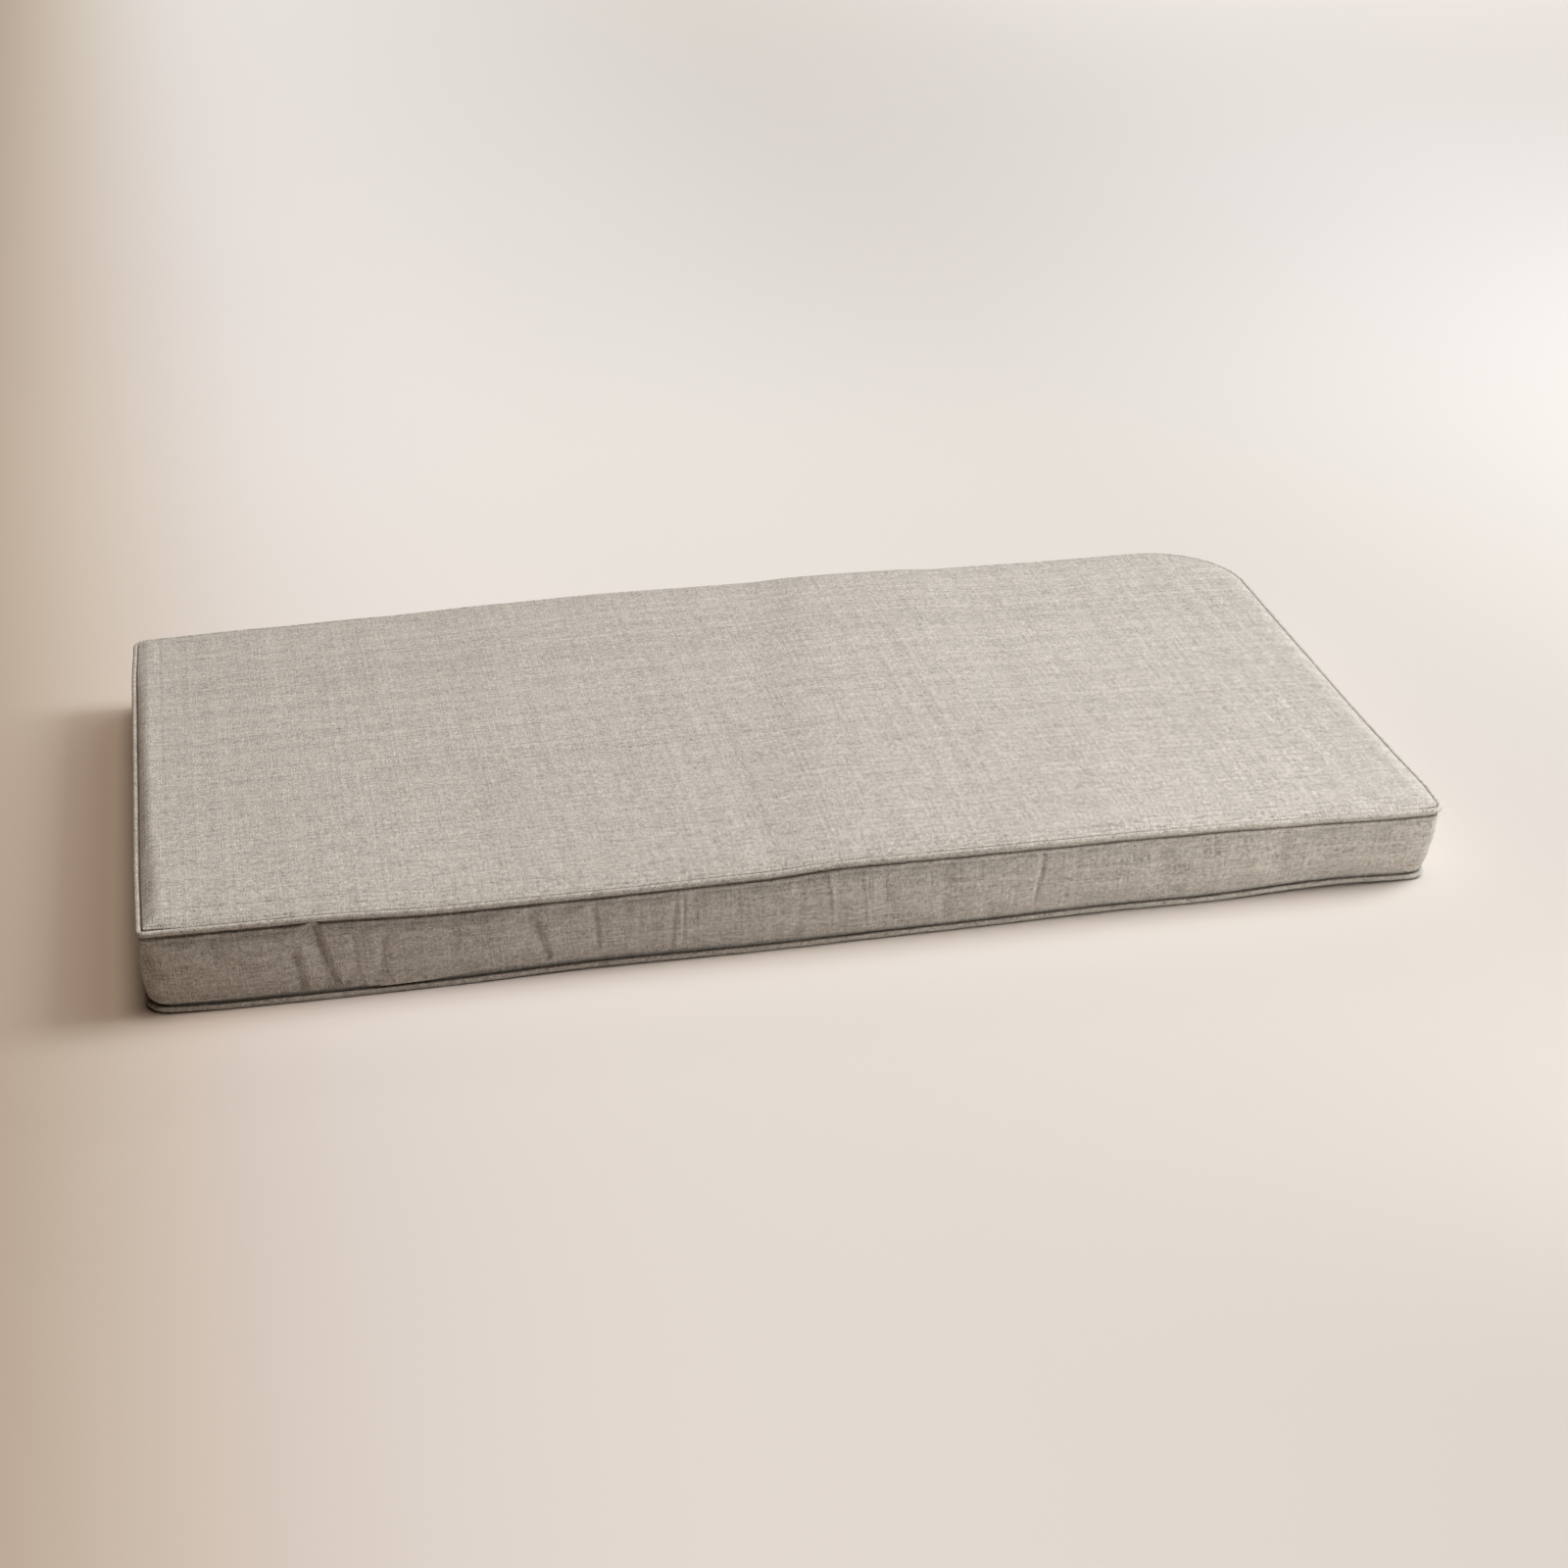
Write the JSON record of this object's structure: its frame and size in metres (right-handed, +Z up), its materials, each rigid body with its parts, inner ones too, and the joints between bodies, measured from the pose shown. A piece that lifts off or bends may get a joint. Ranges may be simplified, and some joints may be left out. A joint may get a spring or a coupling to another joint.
{
  "type": "bench cushion",
  "caption": "Long boxed bench cushion in woven cloth, filled, with piped seams and one rounded corner, lying flat on its back panel.",
  "frame": {"origin": "middle of the part's outline in plan, on the surface that it rests on", "axes": "+X along the long front edge, +Y from the front to the back, +Z up through the cushion's thickness"},
  "size_m": [1.2282, 0.6438, 0.1002],
  "materials": {
    "cover_cloth": "matt heathered plain weave, greige",
    "top_piping_cloth": "the same cloth over a cord",
    "bottom_piping_cloth": "the same cloth over a cord"
  },
  "bodies": {
    "root": {"cushion": "cover_cloth", "top_piping": "top_piping_cloth", "bottom_piping": "bottom_piping_cloth"}
  },
  "joints": []
}
